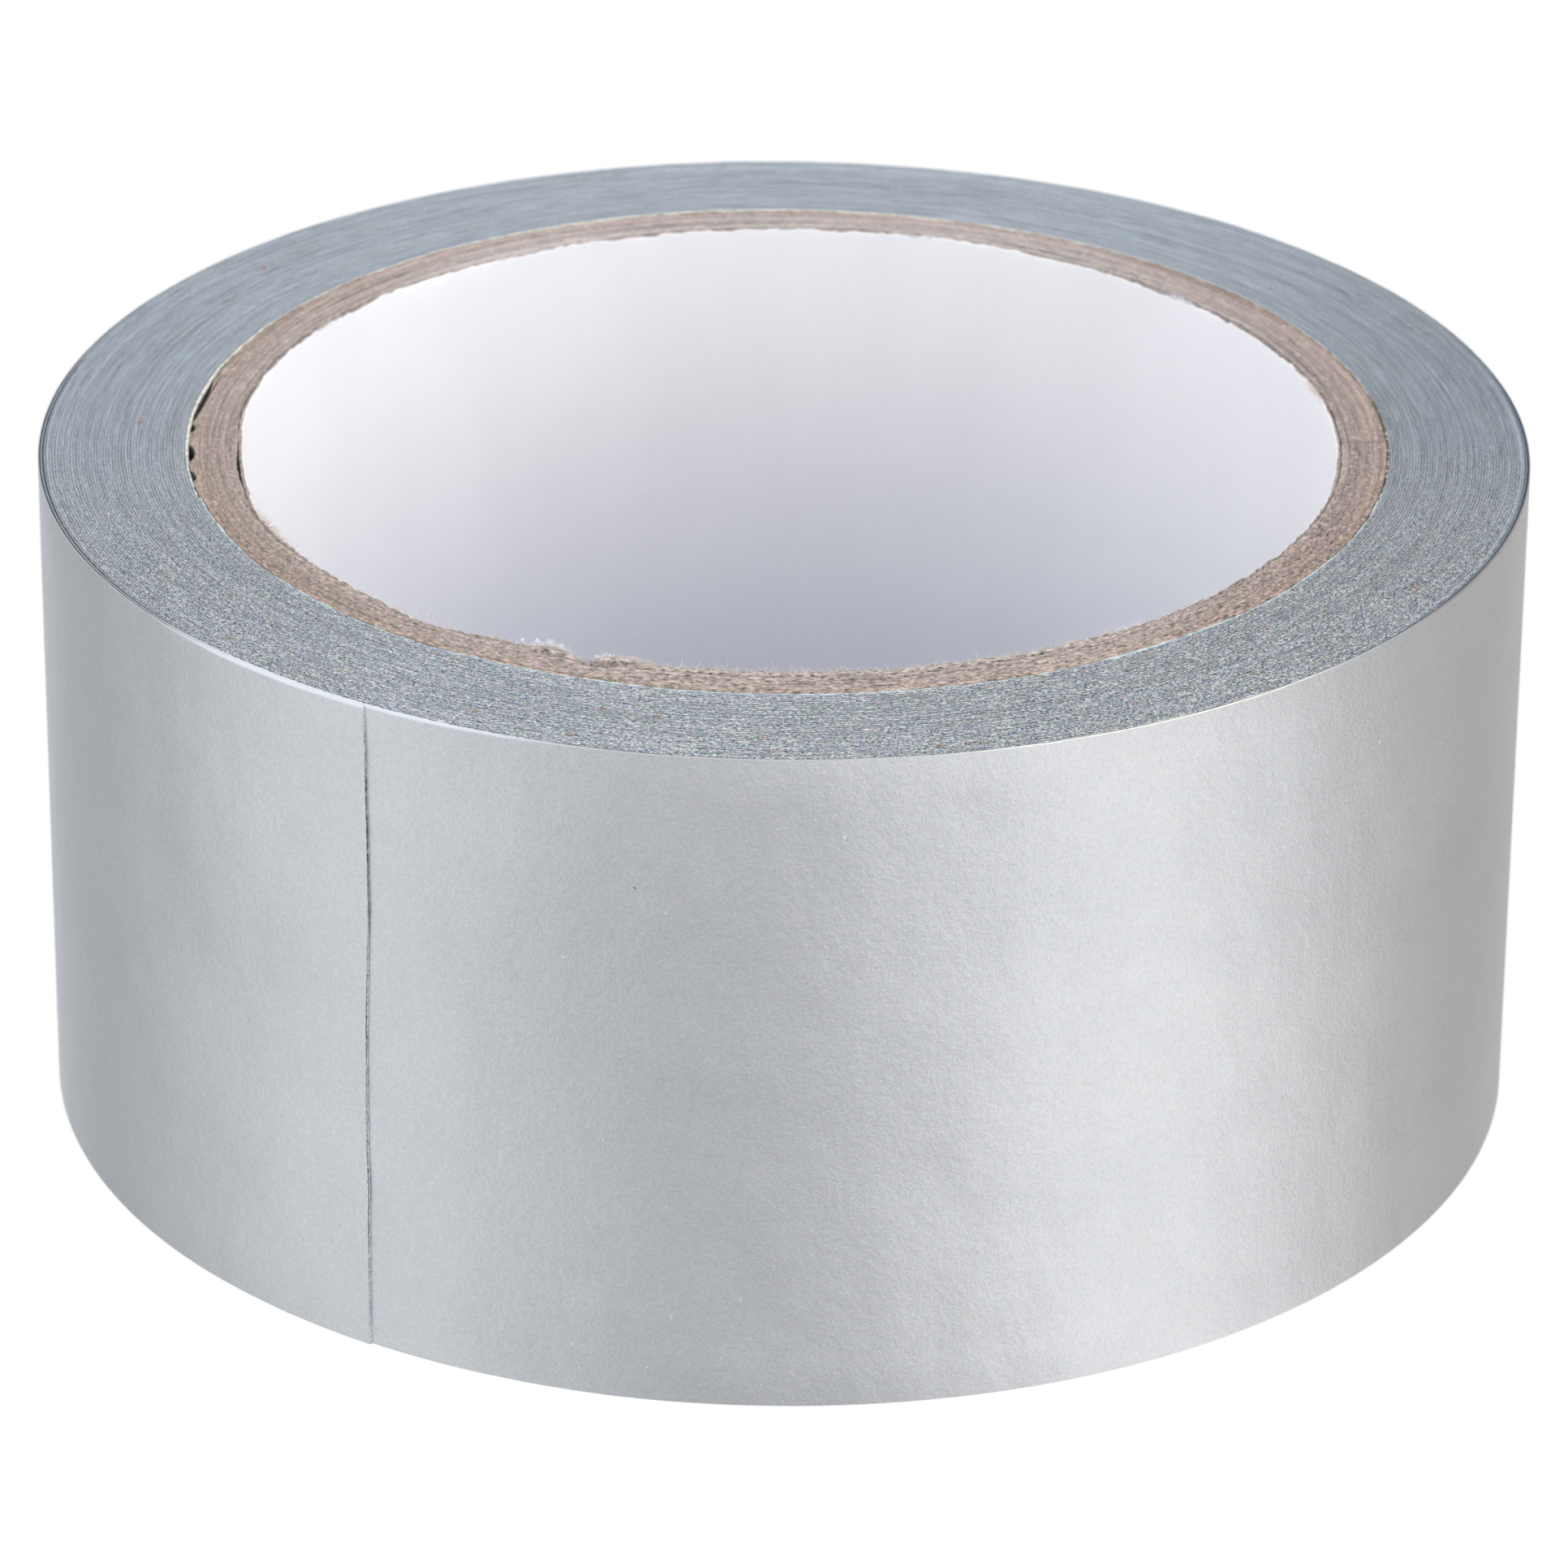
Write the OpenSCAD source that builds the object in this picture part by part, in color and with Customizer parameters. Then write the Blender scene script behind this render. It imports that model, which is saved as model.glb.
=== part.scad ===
// Roll of duct tape on a paperboard core.
// The core is a white paper liner inside six wound plies of kraft paperboard.
// The tape is one long strip of three bonded layers: backing film on the
// outside, cloth scrim in the middle and adhesive on the inside. It lies round
// the core as a spiral, every turn on top of the one before it. The last part
// of the strip is divided at eight fold lines, so that it can be peeled off.
// The roll stands on one flat side at z = 0, with the core's axis along Z. The
// strip winds outwards anticlockwise, seen from above.

/* [Core] */

// Diameter of the hole through the core (mm)
core_hole = 77; // [50:0.5:100]
// Thickness of the white paper liner in the hole (mm)
liner_thickness = 0.35; // [0.2:0.05:0.6]
// Thickness of each of the six paperboard plies (mm)
ply_thickness = 0.55; // [0.3:0.05:0.9]

/* [Tape] */

// Width of the tape, and of the core cut to match it (mm)
tape_width = 48; // [24:1:75]
// Thickness of the backing film (mm)
film_thickness = 0.08; // [0.06:0.01:0.12]
// Thickness of the cloth scrim (mm)
scrim_thickness = 0.04; // [0.04:0.01:0.08]
// Thickness of the adhesive (mm)
adhesive_thickness = 0.08; // [0.06:0.01:0.12]
// Full turns of tape on the core
turns = 49; // [36:1:60]
// Direction from the axis in which the first turn starts (degrees)
start_angle = 196; // [0:1:359]

/* [Tail] */

// Direction from the axis in which the cut end lies (degrees)
cut_angle = 238.4; // [0:0.1:359.9]
// How far round the roll the peelable tail reaches (degrees)
tail_arc = 84.8; // [40:0.4:120]
// Which pieces to draw

/* [Hidden] */

$fn = 180;

// Radii of the hole and of the core's outside
plies = 6;
hole_radius = core_hole / 2;
ply_start_radius = hole_radius + liner_thickness;
core_radius = ply_start_radius + plies * ply_thickness;

// The strip's layers, counted outwards from the core
scrim_inset = adhesive_thickness;
film_inset = scrim_inset + scrim_thickness;
tape_thickness = film_inset + film_thickness;

// Places on the strip are angles turned through since its start.
// The cut end lies past the last full turn, the peel line tail_arc before it.
lead = (cut_angle - start_angle + 360) % 360;
peel_turned = 360 * turns + lead - tail_arc;

// The tail is divided into equal segments
segments = 8;
segment_arc = tail_arc / segments;

// Whole turns wound before each length of the wound strip starts: the strip
// from the core to the outer turn is kept as four lengths, one round the other
wound_turns = [0, 9, 20, 33];

// How far a cutter reaches past each face it cuts through
cut_margin = 1;

// Colours
film_colour = [0.75, 0.76, 0.78];
scrim_colour = [0.86, 0.86, 0.82];
adhesive_colour = [0.62, 0.66, 0.68];
kraft_colour = [0.69, 0.63, 0.58];
liner_colour = [0.93, 0.93, 0.94];

// Brightness of ply k, in three repeating shades that tell the plies apart
function ply_shade(k) = 0.94 + 0.02 * (k % 3);

// Where tail segment k starts, counted from the peel line and kept to a
// millionth of a degree so that a segment can end exactly on a half-turn
function segment_start(k) =
    round((peel_turned + (k - 1) * segment_arc) * 1e6) / 1e6;

// The outer turn is the last whole one before the peel line
outer_end = segment_start(1);
outer_start = outer_end - 360;

// Where length k of the wound strip starts, and the outer turn after the last
function wound_start(k) =
    k > len(wound_turns) ? outer_start : 360 * wound_turns[k - 1];

// A plain tube standing on the ground
module tube(inner, outer) {
    difference() {
        cylinder(r = outer, h = tape_width);
        translate([0, 0, -cut_margin])
            cylinder(r = inner, h = tape_width + 2 * cut_margin);
    }
}

// One curved piece of strip, between two angles of the same half-turn.
// Half-turns are round about two centres half a thickness apart, each half a
// thickness larger than the one before, so that they join into a spiral.
module half_turn_piece(half, from, to, inset, thickness) {
    odd = half % 2;
    whole_turns = (half - odd) / 2;
    translate([odd * tape_thickness / 2, 0, 0])
        rotate_extrude(angle = to - from, start = from - 360 * whole_turns)
            translate([core_radius + half * tape_thickness / 2 + inset, 0])
                square([thickness, tape_width]);
}

// One layer of the strip between two angles turned through since its start
module strip(from, to, inset, thickness) {
    first_half = floor(from / 180);
    last_half = ceil(to / 180) - 1;
    rotate([0, 0, start_angle])
        for (half = [first_half : last_half])
            half_turn_piece(
                half,
                max(from, 180 * half),
                min(to, 180 * (half + 1)),
                inset,
                thickness
            );
}

// The three layers, each in its own colour
module film_strip(from, to) {
    color(film_colour) strip(from, to, film_inset, film_thickness);
}

module scrim_strip(from, to) {
    color(scrim_colour) strip(from, to, scrim_inset, scrim_thickness);
}

module adhesive_strip(from, to) {
    color(adhesive_colour) strip(from, to, 0, adhesive_thickness);
}

// White paper lining the hole
module core_liner() {
    color(liner_colour) tube(hole_radius, ply_start_radius);
}

// Paperboard ply k, counted outwards from the liner
module core_ply(k) {
    inner = ply_start_radius + (k - 1) * ply_thickness;
    color(kraft_colour * ply_shade(k)) tube(inner, inner + ply_thickness);
}

module core_ply_1() { core_ply(1); }
module core_ply_2() { core_ply(2); }
module core_ply_3() { core_ply(3); }
module core_ply_4() { core_ply(4); }
module core_ply_5() { core_ply(5); }
module core_ply_6() { core_ply(6); }

// Layers of length k of the wound strip
module wound_film(k) { film_strip(wound_start(k), wound_start(k + 1)); }
module wound_scrim(k) { scrim_strip(wound_start(k), wound_start(k + 1)); }
module wound_adhesive(k) { adhesive_strip(wound_start(k), wound_start(k + 1)); }

module wound_film_1() { wound_film(1); }
module wound_film_2() { wound_film(2); }
module wound_film_3() { wound_film(3); }
module wound_film_4() { wound_film(4); }
module wound_scrim_1() { wound_scrim(1); }
module wound_scrim_2() { wound_scrim(2); }
module wound_scrim_3() { wound_scrim(3); }
module wound_scrim_4() { wound_scrim(4); }
module wound_adhesive_1() { wound_adhesive(1); }
module wound_adhesive_2() { wound_adhesive(2); }
module wound_adhesive_3() { wound_adhesive(3); }
module wound_adhesive_4() { wound_adhesive(4); }

// Layers of the outer turn: the tail lies on its first part, and the rest is
// the wall of the roll
module outer_film() { film_strip(outer_start, outer_end); }
module outer_scrim() { scrim_strip(outer_start, outer_end); }
module outer_adhesive() { adhesive_strip(outer_start, outer_end); }

// Layers of tail segment k
module tail_film(k) { film_strip(segment_start(k), segment_start(k + 1)); }
module tail_scrim(k) { scrim_strip(segment_start(k), segment_start(k + 1)); }
module tail_adhesive(k) { adhesive_strip(segment_start(k), segment_start(k + 1)); }

module tail_film_1() { tail_film(1); }
module tail_film_2() { tail_film(2); }
module tail_film_3() { tail_film(3); }
module tail_film_4() { tail_film(4); }
module tail_film_5() { tail_film(5); }
module tail_film_6() { tail_film(6); }
module tail_film_7() { tail_film(7); }
module tail_film_8() { tail_film(8); }
module tail_scrim_1() { tail_scrim(1); }
module tail_scrim_2() { tail_scrim(2); }
module tail_scrim_3() { tail_scrim(3); }
module tail_scrim_4() { tail_scrim(4); }
module tail_scrim_5() { tail_scrim(5); }
module tail_scrim_6() { tail_scrim(6); }
module tail_scrim_7() { tail_scrim(7); }
module tail_scrim_8() { tail_scrim(8); }
module tail_adhesive_1() { tail_adhesive(1); }
module tail_adhesive_2() { tail_adhesive(2); }
module tail_adhesive_3() { tail_adhesive(3); }
module tail_adhesive_4() { tail_adhesive(4); }
module tail_adhesive_5() { tail_adhesive(5); }
module tail_adhesive_6() { tail_adhesive(6); }
module tail_adhesive_7() { tail_adhesive(7); }
module tail_adhesive_8() { tail_adhesive(8); }

core_liner();
core_ply_1();
core_ply_2();
core_ply_3();
core_ply_4();
core_ply_5();
core_ply_6();
wound_film_1();
wound_film_2();
wound_film_3();
wound_film_4();
wound_scrim_1();
wound_scrim_2();
wound_scrim_3();
wound_scrim_4();
wound_adhesive_1();
wound_adhesive_2();
wound_adhesive_3();
wound_adhesive_4();
outer_film();
outer_scrim();
outer_adhesive();
tail_film_1();
tail_film_2();
tail_film_3();
tail_film_4();
tail_film_5();
tail_film_6();
tail_film_7();
tail_film_8();
tail_scrim_1();
tail_scrim_2();
tail_scrim_3();
tail_scrim_4();
tail_scrim_5();
tail_scrim_6();
tail_scrim_7();
tail_scrim_8();
tail_adhesive_1();
tail_adhesive_2();
tail_adhesive_3();
tail_adhesive_4();
tail_adhesive_5();
tail_adhesive_6();
tail_adhesive_7();
tail_adhesive_8();
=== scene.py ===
"""Roll of duct tape lying flat on a table.

The roll's axis is Z and its foot is at z = 0. The camera looks from -Y, the front, with +X to
its right. A white paper liner and six board plies make the core; the strip (adhesive, cloth
scrim, film) winds round it and ends in a tail that can unwind. Lengths are in millimetres and
become metres in build(). Directions are in degrees from +X, azimuths in degrees from the front.
"""

import math

import bpy
import numpy as np
from mathutils import Matrix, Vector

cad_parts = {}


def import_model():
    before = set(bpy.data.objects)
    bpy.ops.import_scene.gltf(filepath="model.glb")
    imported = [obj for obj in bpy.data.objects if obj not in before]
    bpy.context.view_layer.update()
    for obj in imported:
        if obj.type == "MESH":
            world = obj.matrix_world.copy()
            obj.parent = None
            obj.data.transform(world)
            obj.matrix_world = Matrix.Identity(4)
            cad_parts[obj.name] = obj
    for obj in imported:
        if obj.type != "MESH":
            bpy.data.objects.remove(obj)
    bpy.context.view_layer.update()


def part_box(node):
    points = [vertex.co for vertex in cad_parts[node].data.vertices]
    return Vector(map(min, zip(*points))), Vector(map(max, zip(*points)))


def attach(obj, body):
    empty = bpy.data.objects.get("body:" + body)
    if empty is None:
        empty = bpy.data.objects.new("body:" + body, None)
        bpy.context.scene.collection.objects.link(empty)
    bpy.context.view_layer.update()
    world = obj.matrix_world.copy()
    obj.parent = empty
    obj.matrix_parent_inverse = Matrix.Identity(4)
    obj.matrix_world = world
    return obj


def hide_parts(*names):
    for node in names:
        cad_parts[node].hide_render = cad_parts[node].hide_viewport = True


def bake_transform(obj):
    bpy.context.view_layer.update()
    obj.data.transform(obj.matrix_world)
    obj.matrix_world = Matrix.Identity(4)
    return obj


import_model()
rng = np.random.default_rng(20)

# ---------------------------------------------------------------- dimensions
MM = 0.001


def top_corner(node):
    """The upper corner of a CAD node's box, in mm."""
    return np.array(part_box(node)[1]) / MM


WIDTH = float(top_corner("core_liner")[2])
LINER_OUT = float(top_corner("core_liner")[0])
PLY_OUT = [float(top_corner(f"core_ply_{k}")[0]) for k in range(1, 7)]
R_CORE = PLY_OUT[-1]
HOLE = 38.5  # radius of the hole
SKIN = 0.12  # least room for the core's pale skin

# thickness of the strip's layers, from the inside out
ADHESIVE, SCRIM, FILM = 0.08, 0.04, 0.08
PITCH = ADHESIVE + SCRIM + FILM

# Strip angles: degrees wound since the strip's start
TURNS = 49
START_DEG, CUT_DEG = 196.0, 238.4  # directions of the strip's start and of its cut end
TAIL_ARC, TAIL_PIECES = 84.8, 8
END = 360.0 * TURNS + (CUT_DEG - START_DEG)
PEEL = END - TAIL_ARC  # where the tail leaves the roll
OUTER = PEEL - 360.0  # where the outermost turn begins
PIECE_ARC = TAIL_ARC / TAIL_PIECES
OUT_R = R_CORE + PITCH * PEEL / 360.0
COS_START, SIN_START = math.cos(math.radians(START_DEG)), math.sin(math.radians(START_DEG))

WOUND_STEPS = 300  # columns a turn
OUTER_STEPS = 480
RING_STEPS = 1440  # columns round the plies and the skin
LINER_STEPS = 1440


def world_angle(angle):
    """Direction of a strip angle."""
    return (angle + START_DEG) % 360.0


def from_front(deg):
    """Azimuth of a direction, -180 to 180."""
    return (np.asarray(deg, float) + 90.0 + 180.0) % 360.0 - 180.0


# ---------------------------------------------------------------- noise
TABLE = rng.uniform(-1, 1, 4096)


def cell(x):
    """Whole part of x, and the rest of it eased."""
    whole = np.floor(x).astype(np.int64)
    part = x - whole
    return whole, part * part * (3 - 2 * part)


def vnoise(x, seed):
    """Smooth noise of one variable, in -1..1, one bump a unit."""
    i, part = cell(np.asarray(x, float))
    first = TABLE[(i * 7 + seed * 131) % 4096]
    second = TABLE[((i + 1) * 7 + seed * 131) % 4096]
    return first + (second - first) * part


def ring_noise(deg, count, seed):
    """Smooth noise round a circle, count bumps a turn, joined at 360."""
    i, part = cell((np.asarray(deg, float) % 360.0) / 360.0 * count)
    first = TABLE[((i % count) * 13 + seed * 97) % 4096]
    second = TABLE[(((i + 1) % count) * 13 + seed * 97) % 4096]
    return first + (second - first) * part


def near(deg, centre, half):
    """1 at centre, 0 past half degrees from it, smooth, round the circle."""
    away = (np.asarray(deg, float) - centre + 180.0) % 360.0 - 180.0
    share = np.clip(1 - np.abs(away) / half, 0, 1)
    return share * share * (3 - 2 * share)


# ---------------------------------------------------------------- meshes
SHARP_DEG = 38.0


def build(name, verts, quads, mats, face_slot, strip, caps=()):
    """Makes a mesh object. strip: along, across and up, a vector a vertex for the materials."""
    verts = np.asarray(verts, float).reshape(-1, 3)
    quads = np.asarray(quads, np.int64).reshape(-1, 4)
    mesh = bpy.data.meshes.new(name)
    mesh.vertices.add(len(verts))
    mesh.vertices.foreach_set("co", (verts * MM).astype(np.float32).ravel())
    loops = np.concatenate([quads.ravel(), *caps])
    starts, at = list(np.arange(len(quads)) * 4), len(quads) * 4
    for cap in caps:
        starts.append(at)
        at += len(cap)
    mesh.loops.add(len(loops))
    mesh.loops.foreach_set("vertex_index", loops.astype(np.int32))
    mesh.polygons.add(len(starts))
    mesh.polygons.foreach_set("loop_start", np.array(starts, np.int32))
    mesh.update(calc_edges=True)
    mesh.validate(clean_customdata=False)
    for mat in mats:
        mesh.materials.append(mat)
    if face_slot is not None:
        mesh.polygons.foreach_set("material_index", np.asarray(face_slot, np.int32))
    mesh.polygons.foreach_set("use_smooth", np.full(len(mesh.polygons), True, bool))
    mesh.set_sharp_from_angle(angle=math.radians(SHARP_DEG))
    for label, vectors in (("rest", verts), ("strip", strip)):
        attribute = mesh.attributes.new(label, "FLOAT_VECTOR", "POINT")
        attribute.data.foreach_set("vector", np.asarray(vectors, np.float32).ravel())
    piece = bpy.data.objects.new(name, mesh)
    bpy.context.scene.collection.objects.link(piece)
    return piece


def dented(points):
    """Pushes the core and the first turns inwards at the left, most at the top."""
    points = np.array(points, float)
    x, y, z = points[..., 0], points[..., 1], points[..., 2]
    radius = np.hypot(x, y)
    deg = np.degrees(np.arctan2(y, x)) % 360.0
    inner = 0.28 * near(deg, 174.0, 30.0) - 0.10 * near(deg, 206.0, 14.0)
    outer = 0.44 * near(deg, 181.0, 48.0) ** 0.7
    share = np.clip((radius - LINER_OUT) / (R_CORE - LINER_OUT), 0.0, 1.0)
    fade = np.clip(1.0 - (radius - R_CORE) / 9.3, 0.0, 1.0)
    move = (inner * (1 - share) + outer * share) * fade * np.clip(z / WIDTH, 0.0, 1.0)
    shrink = 1.0 - move / radius
    points[..., 0] *= shrink
    points[..., 1] *= shrink
    return points


def loft(name, points, strip, mats, row_slot, closed=False, cap_slot=1):
    """Skins an array of columns x section x 3. The section is a ring; open ends are capped."""
    columns, rows = points.shape[:2]
    index = np.arange(columns * rows).reshape(columns, rows)
    beside = np.roll(index, -1, axis=1)
    if closed:
        here, ahead = (index, beside), [np.roll(i, -1, axis=0) for i in (index, beside)]
    else:
        here, ahead = (index[:-1], beside[:-1]), (index[1:], beside[1:])
    quads = np.stack([here[0], ahead[0], ahead[1], here[1]], -1).reshape(-1, 4)
    face_slot = np.tile(np.asarray(row_slot), here[0].shape[0])
    caps = []
    if not closed:
        caps = [index[0], index[-1][::-1]]
        face_slot = np.concatenate([face_slot, np.full(2, cap_slot)])
    return build(name, dented(points.reshape(-1, 3)), quads, mats, face_slot, strip, caps)


# ---------------------------------------------------------------- shader nodes
class Value:
    """An output of a shader node. Arithmetic on it adds Math nodes."""

    def __init__(self, net, socket):
        self.net = net
        self.socket = socket

    def __add__(self, other):
        return self.net.math("ADD", self, other)

    def __sub__(self, other):
        return self.net.math("SUBTRACT", self, other)

    def __rsub__(self, other):
        return self.net.math("SUBTRACT", other, self)

    def __mul__(self, other):
        return self.net.math("MULTIPLY", self, other)

    def __truediv__(self, other):
        return self.net.math("DIVIDE", self, other)

    def __abs__(self):
        return self.net.math("ABSOLUTE", self)

    def sibling(self, output):
        """Another output of the same node."""
        return Value(self.net, self.socket.node.outputs[output])


class Net:
    """Adds nodes to a material's or world's node tree."""

    def __init__(self, owner):
        owner.use_nodes = True
        self.owner = owner
        self.tree = owner.node_tree

    def put(self, socket, value):
        """Links a value to an input or sets a constant; None leaves it alone."""
        if value is None:
            return
        if isinstance(value, Value):
            self.tree.links.new(value.socket, socket)
        elif isinstance(value, tuple) and socket.type == "RGBA":
            socket.default_value = (*value, 1)
        else:
            socket.default_value = value

    def add(self, kind, *inputs, output=0, **settings):
        """Adds a node, fills its inputs in order and returns one output."""
        node = self.tree.nodes.new("ShaderNode" + kind)
        for name, setting in settings.items():
            setattr(node, name, setting)
        for socket, value in zip(node.inputs, inputs):
            self.put(socket, value)
        return Value(self, node.outputs[output])

    def math(self, operation, *inputs):
        return self.add("Math", *inputs, operation=operation)

    def plus(self, vector, other):
        return self.add("VectorMath", vector, other, operation="ADD")

    def times(self, vector, other):
        return self.add("VectorMath", vector, other, operation="MULTIPLY")

    def scale(self, vector, amount):
        return self.add("VectorMath", vector, None, None, amount, operation="SCALE")

    def attr(self, name):
        return self.add("Attribute", attribute_name=name, output="Vector")

    def split(self, vector):
        first = self.add("SeparateXYZ", vector)
        return first, first.sibling(1), first.sibling(2)

    def join(self, x, y, z):
        return self.add("CombineXYZ", x, y, z)

    def azimuth(self, x, y):
        """Angle from the front in radians, + to the right."""
        return self.math("ARCTAN2", x, y * -1.0)

    def noise(self, vector, scale=1.0, detail=2.0, rough=0.5):
        value = self.add("TexNoise", vector, output="Fac")
        for name, amount in (("Scale", scale), ("Detail", detail), ("Roughness", rough)):
            value.socket.node.inputs[name].default_value = amount
        return value

    def hue(self, noise):
        """The colour of a noise node, centred on zero."""
        middle = (0.5, 0.5, 0.5)
        return self.add("VectorMath", noise.sibling("Color"), middle, operation="SUBTRACT")

    def ramp(self, fac, *stops):
        """Colour ramp between two (position, colour) stops."""
        value = self.add("ValToRGB", fac)
        for element, (position, colour) in zip(value.socket.node.color_ramp.elements, stops):
            element.position = position
            element.color = (*colour, 1)
        return value

    def fade(self, value, start, end, low=0.0, high=1.0):
        """Eases from low to high as value goes from start to end."""
        return self.add("MapRange", value, start, end, low, high, interpolation_type="SMOOTHSTEP")

    def band(self, value, rise, fall):
        """1 inside a range. rise, fall: (value where it is 0, value where it is 1)."""
        return self.fade(value, *rise) * self.fade(value, *fall)

    def mix(self, fac, first, second):
        unused = [None] * 5
        return self.add("Mix", fac, *unused, first, second, data_type="RGBA", output=2)

    def bump(self, height, distance, strength=1.0, normal=None):
        value = self.add("Bump")
        inputs = value.socket.node.inputs
        inputs["Strength"].default_value = strength
        inputs["Distance"].default_value = distance
        self.put(inputs["Height"], height)
        self.put(inputs["Normal"], normal)
        return value

    def surface(self, colour, rough, normal=None, metal=None, specular=None):
        """Fills in the Principled shader and returns the material."""
        inputs = self.tree.nodes["Principled BSDF"].inputs
        self.put(inputs["Base Color"], colour)
        self.put(inputs["Metallic"], metal)
        self.put(inputs["Roughness"], rough)
        self.put(inputs["Specular IOR Level"], specular)
        self.put(inputs["Normal"], normal)
        return self.owner


def srgb(*channels):
    """Linear colour from sRGB channels of 0 to 255."""

    def linear(c):
        c /= 255.0
        return c / 12.92 if c <= 0.04045 else ((c + 0.055) / 1.055) ** 2.4

    return tuple(linear(channel) for channel in channels)


def tinted(colour, factors):
    return tuple(channel * factor for channel, factor in zip(colour, factors))


def material_net(name):
    return Net(bpy.data.materials.new(name))


# ---------------------------------------------------------------- materials
# Bump distances are in metres; every other length is in mm.
FILM_METAL, FILM_ROUGH = 0.85, 0.40


def film_material():
    net = material_net("silver_film")
    rest = net.attr("rest")
    # the pigment isn't quite even, and hangs in very faint lengthwise streaks
    x, y, z = net.split(net.attr("strip"))
    cloud = net.noise(net.times(rest, (0.05, 0.05, 0.09)), detail=3.0, rough=0.55)
    fine = net.noise(rest, scale=3.2, rough=0.6)
    streak = net.noise(net.join(x * 0.02, y, z * 0.9))
    tone = cloud * 0.50 + streak * 0.05 + fine * 0.45
    colour = net.ramp(tone, (0.3, srgb(193, 194, 196)), (0.7, srgb(204, 204, 205)))
    speck = net.noise(rest, scale=4.6, detail=1.0)
    colour = net.scale(colour, (speck - 0.5) * 0.23 + 1.0)
    hue = net.hue(net.noise(rest, scale=2.2))
    colour = net.plus(colour, net.times(hue, (0.035, 0.015, 0.035)))
    # the upper rim: a painted highlight at the front left, a pale painted highlight line at the
    # front right, a painted dark reflection at the right
    rx, ry, rz = net.split(rest)
    azimuth = net.azimuth(rx, ry) * (180.0 / math.pi)
    ragged = rz + (net.noise(rest, scale=0.9) - 0.5) * 0.16
    # painted highlight on the rounded rim at the front left
    rim_highlight = net.band(azimuth, rise=(-55.0, -42.0), fall=(-16.0, -27.0))
    rim_highlight = rim_highlight * net.fade(ragged, WIDTH - 0.26, WIDTH - 0.19)
    # line: a pale painted highlight along the rim at the front right
    line = net.band(azimuth, rise=(8.0, 20.0), fall=(52.0, 34.0))
    line = line * net.fade(ragged, WIDTH - 0.11, WIDTH - 0.06, high=0.85)
    outside = net.fade(net.math("SQRT", rx * rx + ry * ry), 51.55, 51.65)
    rim_highlight = rim_highlight * outside
    line = line * outside
    # painted dark reflection along the top of the rim at the right
    rim_dark_reflection = net.band(azimuth, rise=(50.0, 62.0), fall=(112.0, 90.0))
    rim_dark_reflection = rim_dark_reflection * outside * net.fade(ragged, WIDTH - 0.16, WIDTH - 0.10, high=0.75)
    # the rim's painted highlights and painted dark reflection go into the colour
    colour = net.mix(rim_highlight, colour, srgb(208, 210, 217))
    colour = net.mix(line, colour, srgb(240, 236, 226))
    colour = net.mix(rim_dark_reflection, colour, srgb(112, 108, 112))
    dull = net.math("MAXIMUM", net.math("MAXIMUM", rim_highlight, line), rim_dark_reflection * 0.8)
    metal = FILM_METAL - dull * FILM_METAL
    rough = net.noise(rest, scale=0.35) * 0.08 + (FILM_ROUGH - 0.04)
    # orange peel of the extruded film, over soft waves where it lies on the turns beneath
    peel = net.noise(net.times(rest, (1.0, 1.0, 0.8)), scale=1.55, detail=3.0, rough=0.62)
    grain = net.noise(rest, scale=5.5, detail=1.0)
    wave = net.noise(net.times(rest, (0.11, 0.11, 0.075)), rough=0.45)
    normal = net.bump(wave, distance=0.00030)
    normal = net.bump(peel, distance=0.000033, normal=normal)
    normal = net.bump(grain, distance=0.000016, normal=normal)
    return net.surface(colour, rough, normal, metal, specular=0.5)


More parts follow.
